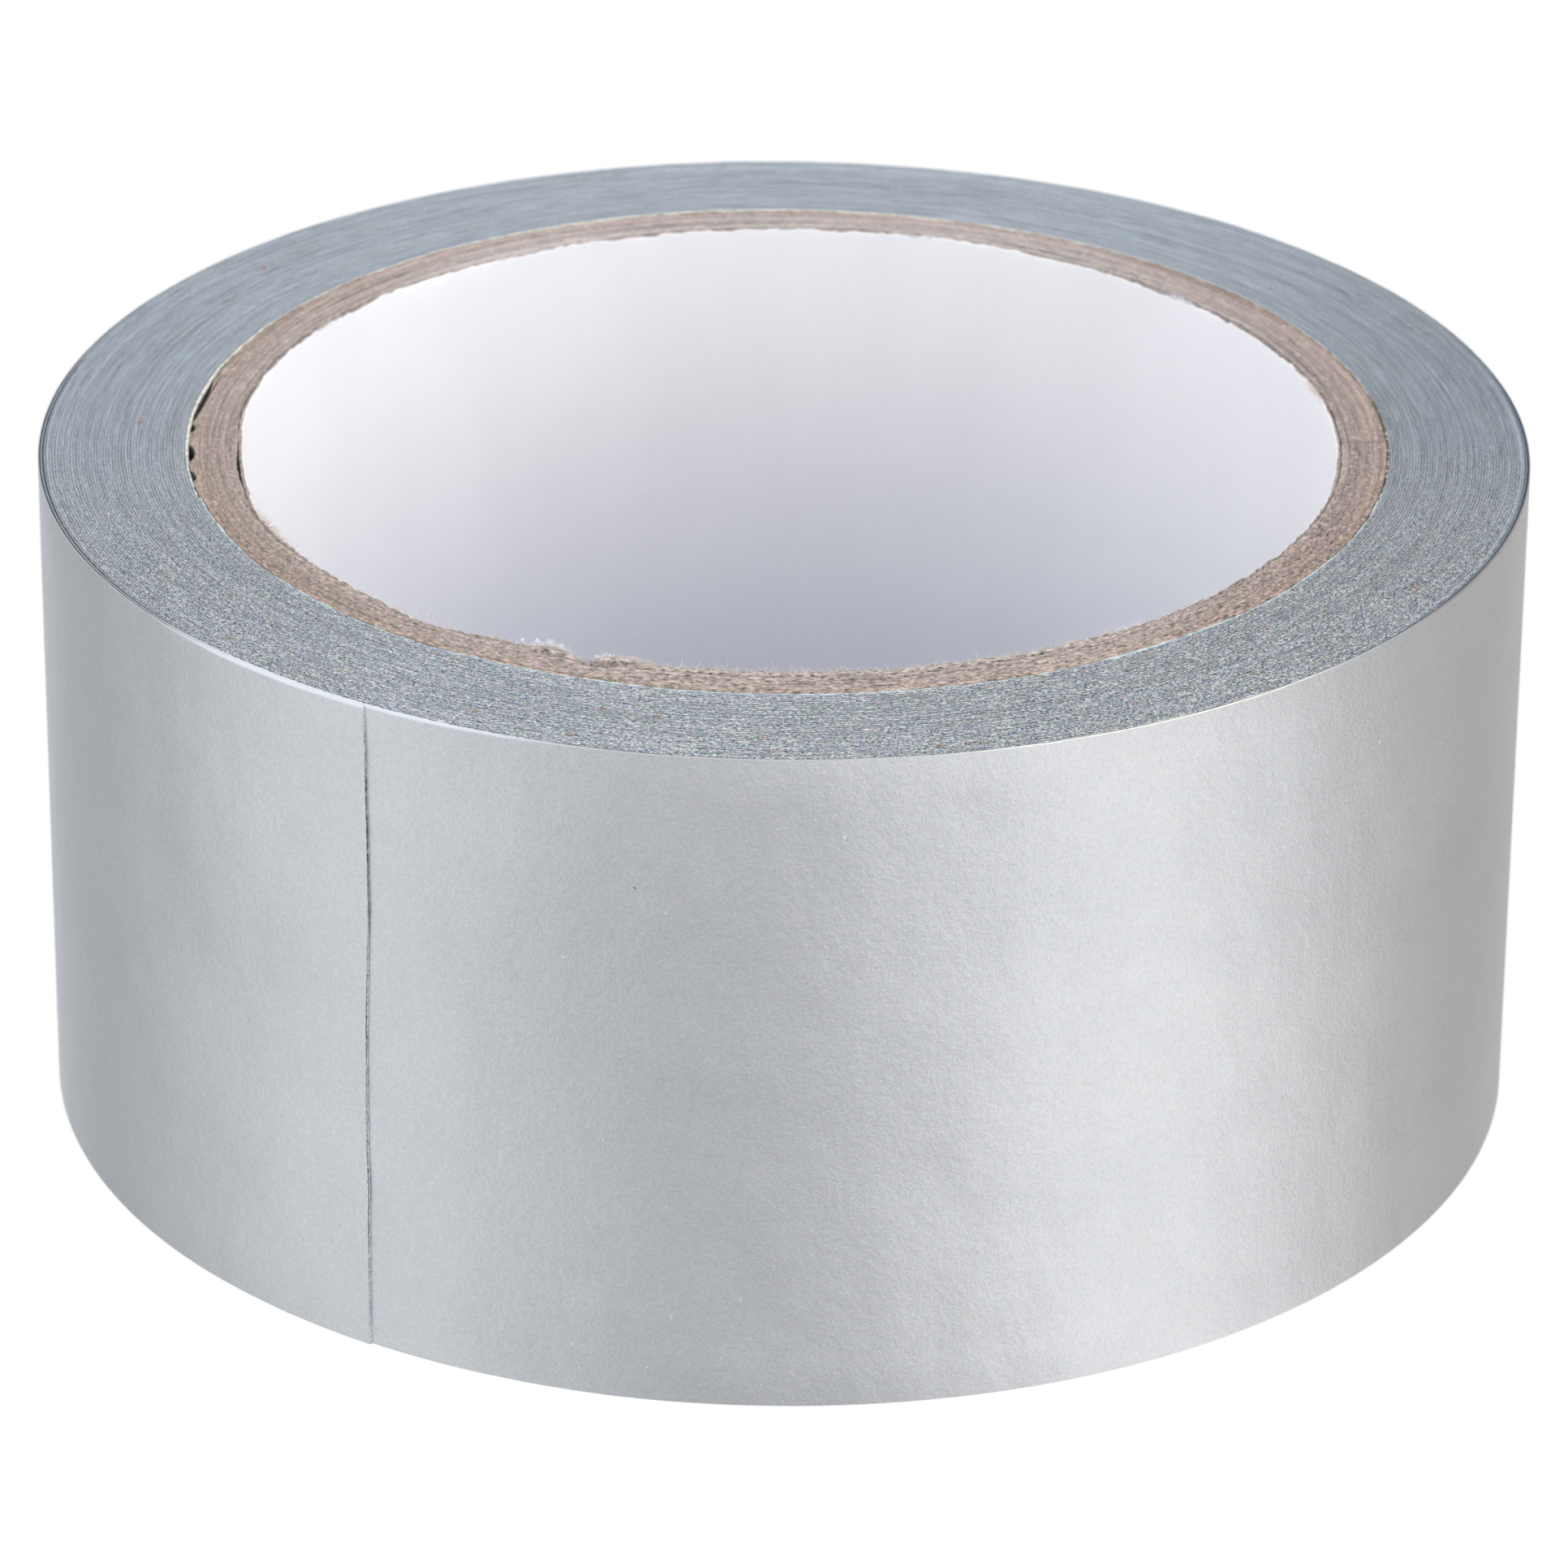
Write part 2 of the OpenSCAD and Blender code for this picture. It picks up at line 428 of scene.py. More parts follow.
def edge_material(name, base, gain, seed, rough, glint, metal=0.0):
    """Cut edge of a layer of tape: grains, drawn out into streaks along the turns.

    gain: contrast of the grains. glint: share of bright flecks.
    """
    net = material_net(name)
    x, y, _ = net.split(net.attr("strip"))
    rest = net.attr("rest")
    rx, ry, _ = net.split(rest)
    front = net.fade(ry, 20.0, -34.0)
    near_eye = net.fade(ry, 6.0, -27.0)
    grain = net.noise(net.plus(rest, (seed * 3.1, 0, 0)), scale=5.0, detail=1.0, rough=0.6)
    streak = net.noise(net.join(x * 0.30, y * 4.2, seed), rough=0.6)
    rings = net.noise(net.join(x * 0.022, y * 1.5, seed + 3.0))
    # the grains show most in front, the streaks behind
    grain_share = near_eye * 0.78 + 0.22
    streak_share = 1.0 - near_eye * 0.75
    tone = (grain - 0.5) * (3.9 * gain) * grain_share
    tone = tone + (streak - 0.5) * 1.10 * streak_share
    tone = tone + (rings - 0.5) * 0.85 * streak_share
    # darker at the front right, and a little at both sides
    side = net.fade(rx - ry * 0.5, 15.0, 50.0, high=-0.13)
    flank = net.fade(abs(rx), 20.0, 48.0, high=-0.05)
    tone = tone + side + flank + 1.0
    # the last few turns sit lower at the two sides, and painted shade darkens them there; one turn
    # inside them is lightened with a painted highlight
    azimuth = abs(net.azimuth(rx, ry)) * (180.0 / math.pi)
    sides = net.band(azimuth, rise=(44.0, 62.0), fall=(112.0, 92.0))
    sides = sides * net.fade(rx, -10.0, 10.0, low=0.6)
    # on the tail's layers y is only the height in the strip, so it counts as outermost
    radius = net.math("MAXIMUM", y, net.fade(y, 1.0, 0.9, high=OUT_R))
    radius = radius + (net.noise(net.times(rest, (0.35, 0.35, 0.0))) - 0.5) * 0.14
    tone = tone * (1.0 - near_eye * 0.115)
    # painted shade on the lowered outer turns at the two sides
    lowered_turn_shade = net.fade(radius, OUT_R - 0.31, OUT_R - 0.22) * sides
    # a painted highlight on one turn just inside the lowered ones
    pale = net.band(
        radius, rise=(OUT_R - 0.60, OUT_R - 0.50), fall=(OUT_R - 0.36, OUT_R - 0.42)
    )
    tone = tone + pale * sides * 0.36
    colour = net.scale(net.mix(front, tinted(base, (0.90, 0.96, 1.01)), base), tone)
    # grains and turns drift in hue as well
    drift = net.noise(net.join(x * 0.03, y * 1.3, seed + 21.0))
    push = net.scale((0.13, 0.03, -0.09), (drift - 0.5) * streak_share)
    colour = net.plus(colour, push)
    hue = net.scale(net.hue(grain), near_eye * 0.7 + 0.3)
    colour = net.plus(colour, net.times(hue, (0.62, 0.34, 0.66)))
    dash = net.noise(net.join(x * 1.3, y * 4.0, seed + 11.0), detail=1.0)
    fleck = net.noise(net.plus(rest, (seed * 5.0, 3.0, 0)), scale=4.2, detail=0.0)
    dash = net.fade(dash, 0.64, 0.76, high=glint * 0.55)
    colour = net.mix(dash, colour, srgb(206, 212, 210))
    fleck = net.fade(fleck, 0.60, 0.72, high=glint * 1.3) * near_eye
    colour = net.mix(fleck, colour, srgb(226, 230, 226))
    # here and there one turn stands a little proud and catches the light for a few centimetres
    proud = net.noise(net.join(x * 0.011, y * 2.3, 31.0), detail=1.0)
    broken = net.noise(net.plus(rest, (9.0, 4.0, 0)), scale=0.9, rough=0.6)
    proud = net.fade(proud, 0.64, 0.72, high=0.42) * net.fade(broken, 0.36, 0.56, low=0.15)
    proud = proud * net.fade(rx, 30.0, -5.0, low=0.5)
    colour = net.mix(proud, colour, srgb(204, 210, 212))
    # the painted shade of the lowered outer turns
    colour = net.mix(lowered_turn_shade * 0.70, colour, srgb(88, 102, 122))
    normal = net.bump(streak + grain, distance=0.00005, strength=0.7)
    return net.surface(colour, rough, normal, metal)


THREAD_ALONG, THREAD_UP = 1.15, 1.45  # spacing of the weave's threads


def adhesive_material():
    """Underside of the tape: tacky grey adhesive with the cloth's weave showing through."""
    net = material_net("adhesive_weave")
    x, _, z = net.split(net.attr("strip"))
    across = abs(net.math("SINE", x * (math.pi / THREAD_ALONG)))
    up = abs(net.math("SINE", z * (math.pi / THREAD_UP)))
    threads = net.math("MAXIMUM", net.fade(across, 0.22, 0.02), net.fade(up, 0.24, 0.02))
    jitter = net.noise(net.attr("rest"), scale=1.2, detail=3.0, rough=0.6)
    threads = threads * net.fade(jitter, 0.3, 0.55, low=0.45)
    base = net.ramp(jitter, (0.3, srgb(150, 156, 158)), (0.7, srgb(176, 181, 181)))
    colour = net.mix(threads * 0.75, base, srgb(214, 214, 206))
    normal = net.bump(threads + jitter * 0.4, distance=0.00005, strength=0.7)
    return net.surface(colour, jitter * 0.25 + 0.28, normal)


def kraft_material(name, base, seed, gain):
    """Edge of a paperboard ply: pressed fibres, flakes of pale pulp and dark specks.

    gain: contrast of the grains.
    """
    net = material_net(name)
    x, y, z = net.split(net.attr("strip"))
    rest = net.attr("rest")
    rx, ry, _ = net.split(rest)
    front = net.fade(ry, 20.0, -30.0)
    near_eye = net.fade(ry, 6.0, -24.0)
    grain = net.noise(net.join(x * 0.50, y, z + seed), scale=4.4, detail=3.0, rough=0.7)
    strata = net.noise(net.join(x * 0.06, y * 3.4, z * 0.2), rough=0.6)
    fibre = net.noise(net.join(x * 0.7, y * 4.5, z + seed), rough=0.65)
    # the grains show most in front, the layers behind
    grain_share = near_eye * 0.74 + 0.26
    grain_share = grain_share * net.fade(rx, -6.0, -24.0, low=1.0, high=0.75)
    layer_share = 1.0 - near_eye * 0.60
    tone = (grain - 0.5) * (3.9 * gain) * grain_share
    tone = tone + (fibre - 0.5) * 0.95 * layer_share
    tone = tone + (strata - 0.5) * 1.55 * layer_share
    tone = tone + 1.0
    body = net.mix(front, tinted(base, (1.05, 1.10, 1.17)), base)
    # darker at both sides, more so at the right, and in front
    flank = net.fade(abs(rx), 18.0, 38.0)
    body = net.mix(flank, body, net.times(body, (0.84, 0.80, 0.77)))
    body = net.mix(net.fade(rx, 18.0, 38.0), body, net.times(body, (0.92, 0.91, 0.92)))
    body = net.mix(near_eye, body, net.times(body, (0.955, 0.96, 0.97)))
    colour = net.scale(body, tone)
    colour = net.plus(colour, net.times(net.hue(grain), (0.20, 0.10, 0.18)))
    flake = net.noise(net.plus(rest, (0, seed + 5.0, 0)), scale=2.2, detail=1.0)
    colour = net.mix(net.fade(flake, 0.62, 0.72, high=0.4), colour, srgb(214, 200, 188))
    dark = net.noise(net.plus(rest, (0, seed + 9.0, 0)), scale=2.6, detail=1.0)
    colour = net.mix(net.fade(dark, 0.64, 0.76, high=0.35), colour, srgb(118, 98, 88))
    normal = net.bump(fibre + grain, distance=0.00009, strength=0.8)
    return net.surface(colour, 0.92, normal, specular=0.2)


def plain_fibre(name, colour, rough):
    net = material_net(name)
    tone = net.noise(net.attr("rest"), scale=6.0, rough=0.6)
    shade = tinted(colour, (0.8, 0.8, 0.8))
    return net.surface(net.ramp(tone, (0.3, shade), (0.7, colour)), rough)


def skin_material():
    """Thin pale line between the core and the first turn: bluish in front, cream behind."""
    net = material_net("core_skin")
    rx, ry, _ = net.split(net.attr("rest"))
    front = net.fade(ry, 5.0, -25.0)
    tone = net.noise(net.attr("rest"), scale=1.6, rough=0.6)
    cream = net.ramp(tone, (0.34, srgb(176, 168, 156)), (0.60, srgb(224, 219, 210)))
    blue = net.ramp(tone, (0.35, srgb(150, 168, 176)), (0.65, srgb(206, 220, 226)))
    colour = net.mix(front, cream, blue)
    right = net.fade(rx, 40.9, 41.6) * net.fade(tone, 0.62, 0.5)
    return net.surface(net.mix(right, colour, srgb(104, 86, 78)), 0.6)


def pocket_material():
    """Inside of the hollows and of the crevice behind the liner: shaded at the left only."""
    net = material_net("shaded_pulp")
    rx, ry, _ = net.split(net.attr("rest"))
    left = net.fade(rx, -35.0, -37.5) * net.fade(abs(ry), 15.0, 12.0)
    tone = net.noise(net.attr("rest"), scale=3.0, rough=0.6)
    board = net.ramp(tone, (0.3, srgb(140, 124, 114)), (0.7, srgb(180, 164, 152)))
    shade = net.ramp(tone, (0.3, srgb(98, 102, 98)), (0.7, srgb(122, 124, 118)))
    return net.surface(net.mix(left, board, shade), 0.95)


def paper_material():
    """White paper of the liner, with painted shade that makes it a little bluer and darker deep in
    the hole.
    """
    net = material_net("white_paper")
    rest = net.attr("rest")
    cloud = net.noise(net.times(rest, (0.12, 0.12, 0.06)), detail=3.0)
    fine = net.noise(rest, scale=2.4, detail=3.0, rough=0.6)
    tone = cloud * 0.6 + fine * 0.4
    colour = net.ramp(tone, (0.3, srgb(230, 228, 230)), (0.7, srgb(236, 234, 236)))
    _, _, rz = net.split(rest)
    # painted shade: bluer and darker deep in the hole
    deep = net.fade(rz, 42.0, 8.0)
    colour = net.mix(deep, colour, net.times(colour, (0.955, 0.985, 1.052)))
    # more painted shade, darker still lower down
    deeper = net.fade(rz, 26.0, 10.0)
    colour = net.mix(deeper, colour, net.times(colour, (0.955, 0.958, 0.957)))
    normal = net.bump(fine, distance=0.00002, strength=0.6)
    return net.surface(colour, 0.8, normal, specular=0.3)


MAT_FILM = film_material()
# name, colour, gain, seed, rough, glint, metal
MAT_FILM_EDGE, MAT_SCRIM_EDGE, MAT_ADH_EDGE, MAT_SHADED_EDGE, MAT_CUT, MAT_CUT_FILM = [
    edge_material(*row)
    for row in (
        ("film_edge", srgb(165, 168, 174), 0.9, 1.0, 0.5, 0.6, 0.15),
        ("scrim_edge", srgb(165, 167, 169), 1.2, 2.0, 0.8, 0.7),
        ("adhesive_edge", srgb(136, 142, 153), 0.9, 3.0, 0.55, 0.3),
        # edges of the sunken outer layers, darker than the plain adhesive edge with painted shade
        ("outer_adhesive_edge", srgb(96, 108, 124), 0.5, 4.0, 0.5, 0.1),
        # the cut ends are near white: painted light that lifts the shade in the step at the tail's
        # cut end
        ("cut_end", srgb(240, 245, 252), 0.6, 5.0, 0.6, 0.3),
        ("cut_film_end", srgb(244, 246, 248), 0.6, 6.0, 0.6, 0.3),
    )
]
MAT_ADHESIVE = adhesive_material()
MAT_PAPER = paper_material()
MAT_SKIN = skin_material()
MAT_POCKET = pocket_material()
# colour and grain contrast of each ply, from the inside out
KRAFT = [
    (srgb(172, 160, 153), 1.05),
    (srgb(168, 154, 147), 1.0),
    (srgb(165, 151, 144), 1.0),
    (srgb(166, 152, 145), 1.0),
    (srgb(166, 150, 141), 1.0),
    (srgb(170, 153, 142), 1.05),
]
MAT_KRAFT = [
    kraft_material(f"kraft_{k}", colour, seed=13.0 * (k + 1), gain=gain)
    for k, (colour, gain) in enumerate(KRAFT)
]
MAT_FUZZ = plain_fibre("paper_fibre", srgb(228, 217, 208), rough=0.85)
MAT_FUZZ_BROWN = plain_fibre("kraft_fibre", srgb(202, 186, 174), rough=0.9)
MAT_TORN = plain_fibre("torn_paper", srgb(238, 238, 243), rough=0.85)
MAT_LINT = plain_fibre("lint", srgb(240, 242, 244), rough=0.6)
MAT_FLUFF = plain_fibre("brown_fluff", srgb(176, 140, 112), rough=0.9)
MAT_SPECK = plain_fibre("dark_speck", srgb(70, 84, 104), rough=0.7)


# ---------------------------------------------------------------- the strip
def spiral(angle, inset):
    """x, y of a strip angle, at a height in the thickness of the strip."""
    angle = np.asarray(angle, float)
    half_turn = np.floor(angle / 180.0 + 1e-9)
    centre = (half_turn % 2) * PITCH / 2
    radius = R_CORE + half_turn * PITCH / 2 + inset
    theta = np.radians(angle)
    x, y = centre + radius * np.cos(theta), radius * np.sin(theta)
    return COS_START * x - SIN_START * y, SIN_START * x + COS_START * y


def spiral_point(angle):
    """x, y of one point on the outside of the strip."""
    x, y = spiral(np.array([angle]), PITCH)
    return float(x[0]), float(y[0])


def arc_length(angle):
    """Length of strip up to a strip angle."""
    turns = np.asarray(angle, float) / 360.0
    return 2 * math.pi * (R_CORE * turns + PITCH * turns * turns / 2)


def ridge(angle, seed):
    """Height of a layer's cut edge about the roll's flat side, in -1..1 or so."""
    along = arc_length(angle)
    turn = np.floor(np.asarray(angle, float) / 360.0)
    return (
        0.5 * vnoise(turn * 3.7 + along * 0.002, seed)
        + 0.5 * vnoise(along / 7.0, seed + 1)
        + 0.5 * vnoise(along / 1.7, seed + 2)
        + 0.35 * vnoise(along / 0.8, seed + 3)
    )


def ribbon(name, span, steps, lo, hi, sink, rough, seed, mats, node):
    """A layer of the wound strip: a thin wall from end to end of the roll, with rough edges.

    span: strip angles. lo, hi: height in the strip. sink: how far the edges stand back.
    rough: height of the edges' ridges. mats: of the walls and of the edges.
    """
    count = max(2, int(round((span[1] - span[0]) / 360.0 * steps)) + 1)
    angle = np.linspace(*span, count)
    top = WIDTH - sink(world_angle(angle)) if callable(sink) else WIDTH - sink
    bottom = sink(world_angle(angle)) if callable(sink) else 0.0 + sink
    top = top + rough * ridge(angle, seed)
    bottom = bottom + rough * 0.6 * (1 + ridge(angle, seed + 9))
    bevel = min(0.018, (hi - lo) * 0.3)
    section = [
        (lo, bottom, bevel),
        (hi, bottom, bevel),
        (hi, top, -bevel),
        (hi - bevel, top, 0),
        (lo + bevel, top, 0),
        (lo, top, -bevel),
    ]
    points = np.zeros((count, len(section), 3))
    strip = np.zeros_like(points)
    along = arc_length(angle)
    for k, (inset, edge, rise) in enumerate(section):
        x, y = spiral(angle, inset)
        z = edge + rise
        points[:, k] = np.stack([x, y, z], -1)
        strip[:, k] = np.stack([along, R_CORE + PITCH * angle / 360.0 + inset, z], -1)
    piece = loft(name, points, strip, mats, [1, 0, 1, 1, 1, 0])
    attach(piece, "roll")
    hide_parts(node)


# Outline of the tail's cut end: (height, shift in degrees of strip angle)
CUT_EDGE = [
    (4.7, -0.44), (8.3, -0.40), (11.9, -0.33), (15.4, -0.43), (19.0, -0.37),
    (22.5, -0.31), (26.1, -0.28), (29.6, -0.14), (33.2, 0.0), (36.7, 0.06),
    (40.3, -0.06), (43.9, -0.07), (47.4, -0.15),
]
CUT_REACH = 1.2  # degrees before the end that move with it


def cut_shift(angle, z):
    """The cut end isn't quite straight: how far the strip's last columns move, in degrees."""
    share = np.clip((angle - (END - CUT_REACH)) / CUT_REACH, 0, 1)
    z = np.asarray(z, float)
    wave = 0.055 * vnoise(z / 6.0, 201) + 0.035 * vnoise(z / 1.9, 202)
    wave = wave + 0.10 * (z / WIDTH - 0.5)
    return share * (wave + np.interp(z, *zip(*CUT_EDGE)))


RIM_BAND = 0.30  # the straight wall starts 1.2 of these from either end
RIM_ROWS, WALL_ROWS = 8, 16


def rim_radius(deg):
    """How round the film's rim is, by direction."""
    azimuth = from_front(deg)
    radius = 0.06 + 0.13 * np.clip((near(azimuth, -34.0, 24.0) * 1.5), 0, 1)
    radius = radius + 0.08 * near(azimuth, 150.0, 60.0)
    radius = radius * (1.0 + 0.15 * ring_noise(deg, 60, 500) + 0.12 * ring_noise(deg, 260, 501))
    return np.clip(radius, 0.04, 0.20)


def film_sheet(name, angle):
    """The film of the outside of the roll: wall, rounded rims and inside."""
    along = arc_length(angle)
    rim = rim_radius(world_angle(angle))
    lift = 0.020 * vnoise(along / 11.0, 33) + 0.012 * vnoise(along / 2.0, 34)
    bends = [math.pi / 2 * i / (RIM_ROWS - 1) for i in range(RIM_ROWS)]
    # rows: inset from the outside, height, share of the lift
    rows = [(rim * (1 - math.sin(t)), rim * (1 - math.cos(t)), 0) for t in bends]
    for i in range(1, WALL_ROWS):
        z = RIM_BAND * 1.2 + (WIDTH - 2.4 * RIM_BAND) * i / WALL_ROWS
        rows.append((0.0 * rim, z, i / WALL_ROWS))
    rows += [(rim * (1 - math.cos(t)), WIDTH - rim * (1 - math.sin(t)), 1) for t in bends]
    outside = len(rows)
    thin = np.maximum(FILM, rim * 0.95)
    rows += [
        (thin + 0.012, WIDTH - 0.03, 1),
        (thin + 0.012, WIDTH - 0.20, 1),
        (FILM, WIDTH - 0.9, 0),
        (FILM, 0.9, 0),
        (thin + 0.012, 0.20, 0),
        (thin + 0.012, 0.03, 0),
    ]
    points = np.zeros((len(angle), len(rows), 3))
    strip = np.zeros_like(points)
    for k, (inset, z, share) in enumerate(rows):
        z = z + lift * share
        x, y = spiral(angle + cut_shift(angle, z), PITCH - inset)
        points[:, k] = np.stack([x, y, z], -1)
        strip[:, k] = np.stack([along, PITCH - inset + 0 * z, z], -1)
    slots = [0] * (outside - 1) + [1] * (len(rows) - outside + 1)
    return loft(name, points, strip, [MAT_FILM, MAT_FILM_EDGE, MAT_CUT_FILM], slots, cap_slot=2)


def outer_sink(deg):
    """How far the layers under the outer film stand back from its rim, most at the two sides."""
    azimuth = from_front(deg)
    sink = 0.05 + 0.10 * near(azimuth, -36.0, 27.0) + 0.20 * near(azimuth, -88.0, 46.0)
    return sink + 0.18 * near(azimuth, 84.0, 44.0) + 0.02 * ring_noise(deg, 160, 510)


# The wound layers: name, node, inner and outer height in the strip, sink, roughness, seed, mats
LAYERS = [
    ("backing_film", "film", ADHESIVE + SCRIM, PITCH, 0.0, 0.030, 40, [MAT_FILM, MAT_FILM_EDGE]),
    ("cloth_scrim", "scrim", ADHESIVE, ADHESIVE + SCRIM, 0.02, 0.045, 60, [MAT_SCRIM_EDGE] * 2),
    ("adhesive_layer", "adhesive", 0.0, ADHESIVE, 0.035, 0.03, 80, [MAT_ADH_EDGE] * 2),
]
# Strip angles where the wound strip is divided into lengths
LENGTHS = [0.0, 9 * 360.0, 20 * 360.0, 33 * 360.0, OUTER]
for k in range(1, 5):
    for label, node, *shape, mats in LAYERS:
        span = LENGTHS[k - 1], LENGTHS[k]
        ribbon(f"wound_{label}_{k}", span, WOUND_STEPS, *shape, mats, f"wound_{node}_{k}")
for (label, node, lo, hi, *_), seed, wall in zip(
    LAYERS[1:], (61, 81), (MAT_SCRIM_EDGE, MAT_ADH_EDGE)
):
    # the edges of the sunken outer layers take the edge material with painted shade
    mats = [wall, MAT_SHADED_EDGE]
    span = OUTER, PEEL
    ribbon(
        f"outer_{label}", span, OUTER_STEPS, lo, hi, outer_sink, 0.02, seed, mats, f"outer_{node}"
    )
outer_film = film_sheet("outer_backing_film", np.linspace(OUTER, PEEL, 721))
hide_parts("outer_film")
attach(outer_film, "roll")


# ---------------------------------------------------------------- the tail
TAIL_STEPS, TAIL_ROWS = 24, 9


def tail_layer(name, angle, lo, hi, wall):
    """A layer under the tail's film, between two heights in the strip."""
    sink = outer_sink(world_angle(angle))
    shares = np.linspace(0, 1, TAIL_ROWS)
    section = [(hi, share) for share in shares] + [(lo, share) for share in shares[::-1]]
    points = np.zeros((len(angle), len(section), 3))
    strip = np.zeros_like(points)
    along = arc_length(angle)
    for j, (inset, share) in enumerate(section):
        z = sink + (WIDTH - 2 * sink) * share
        x, y = spiral(angle + cut_shift(angle, z), inset)
        points[:, j] = np.stack([x, y, z], -1)
        strip[:, j] = np.stack([along, inset + 0 * z, z], -1)
    slots = ([0] * (TAIL_ROWS - 1) + [1]) * 2
    # the layers' top and bottom edges take the edge material with painted shade
    return loft(name, points, strip, [wall, MAT_SHADED_EDGE, MAT_CUT], slots, cap_slot=2)


def tail_piece(k):
    """One length of the tail: its film and the layers under it."""
    span = PEEL + (k - 1) * PIECE_ARC, PEEL + k * PIECE_ARC
    start, end = [
        tuple(value * MM for value in (*spiral_point(angle), WIDTH / 2)) for angle in span
    ]
    angle = np.linspace(*span, TAIL_STEPS + 1)
    pieces = [film_sheet(f"tail_backing_film_{k}", angle)]
    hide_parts(f"tail_film_{k}")
    for (label, node, lo, hi, *_), wall in zip(LAYERS[1:], (MAT_SCRIM_EDGE, MAT_ADHESIVE)):
        pieces.append(tail_layer(f"tail_{label}_{k}", angle, lo, hi, wall))
        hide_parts(f"tail_{node}_{k}")
    for piece in pieces:
        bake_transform(piece)


for k in range(1, TAIL_PIECES + 1):
    tail_piece(k)


# ---------------------------------------------------------------- the core
# Small hollows in the outermost ply, just inside its pale skin:
# (direction, half length in degrees, how deep into the ply)
HOLLOWS = [(172.3, 4.1, 0.41), (179.1, 0.82, 0.38), (185.1, 1.7, 0.48), (190.6, 0.95, 0.35)]


def around(steps):
    return np.arange(steps) * 360.0 / steps


def tube(name, deg, rows, arc_radius, mats, row_slot, node):
    """A tube of the core. rows: (radius, height) of each ring of points, round the section."""
    cos, sin = np.cos(np.radians(deg)), np.sin(np.radians(deg))
    rings = [(radius + 0 * deg, z + 0 * deg) for radius, z in rows]
    points = [np.stack([radius * cos, radius * sin, z], -1) for radius, z in rings]
    strip = [np.stack([np.radians(deg) * arc_radius, radius, z], -1) for radius, z in rings]
    piece = loft(name, np.stack(points, 1), np.stack(strip, 1), mats, row_slot, closed=True)
    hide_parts(node)
    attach(piece, "roll")


def first_turn(deg):
    """Radius just inside the strip's first turn."""
    x, y = spiral((deg - START_DEG) % 360.0, 0.0)
    return np.hypot(x, y) - 0.006


def come_away(deg):
    """How far the top of the liner stands inwards at the left."""
    return 0.46 * near(deg, 187.0, 18.0)


def frayed(deg):
    """Height of the innermost ply's raised edge in front: two tufts with a notch between."""
    up = 0.20 * np.clip((deg - 243.0) / 4.0, 0, 1) * np.clip((306.0 - deg) / 30.0, 0, 1)
    up = up * (1.0 + 0.35 * ring_noise(deg, 200, 340))
    tufts = up + 0.20 * near(deg, 246.6, 3.2) + 0.24 * near(deg, 254.2, 3.2)
    return tufts - 0.40 * near(deg, 250.3, 2.4)


# Sawn edge of a ply: (share of the way out, height)
PLY_EDGE = [
    (0.0, -0.022), (0.08, -0.008), (0.30, 0.0), (0.5, 0.004),
    (0.7, 0.0), (0.92, -0.008), (1.0, -0.022),
]


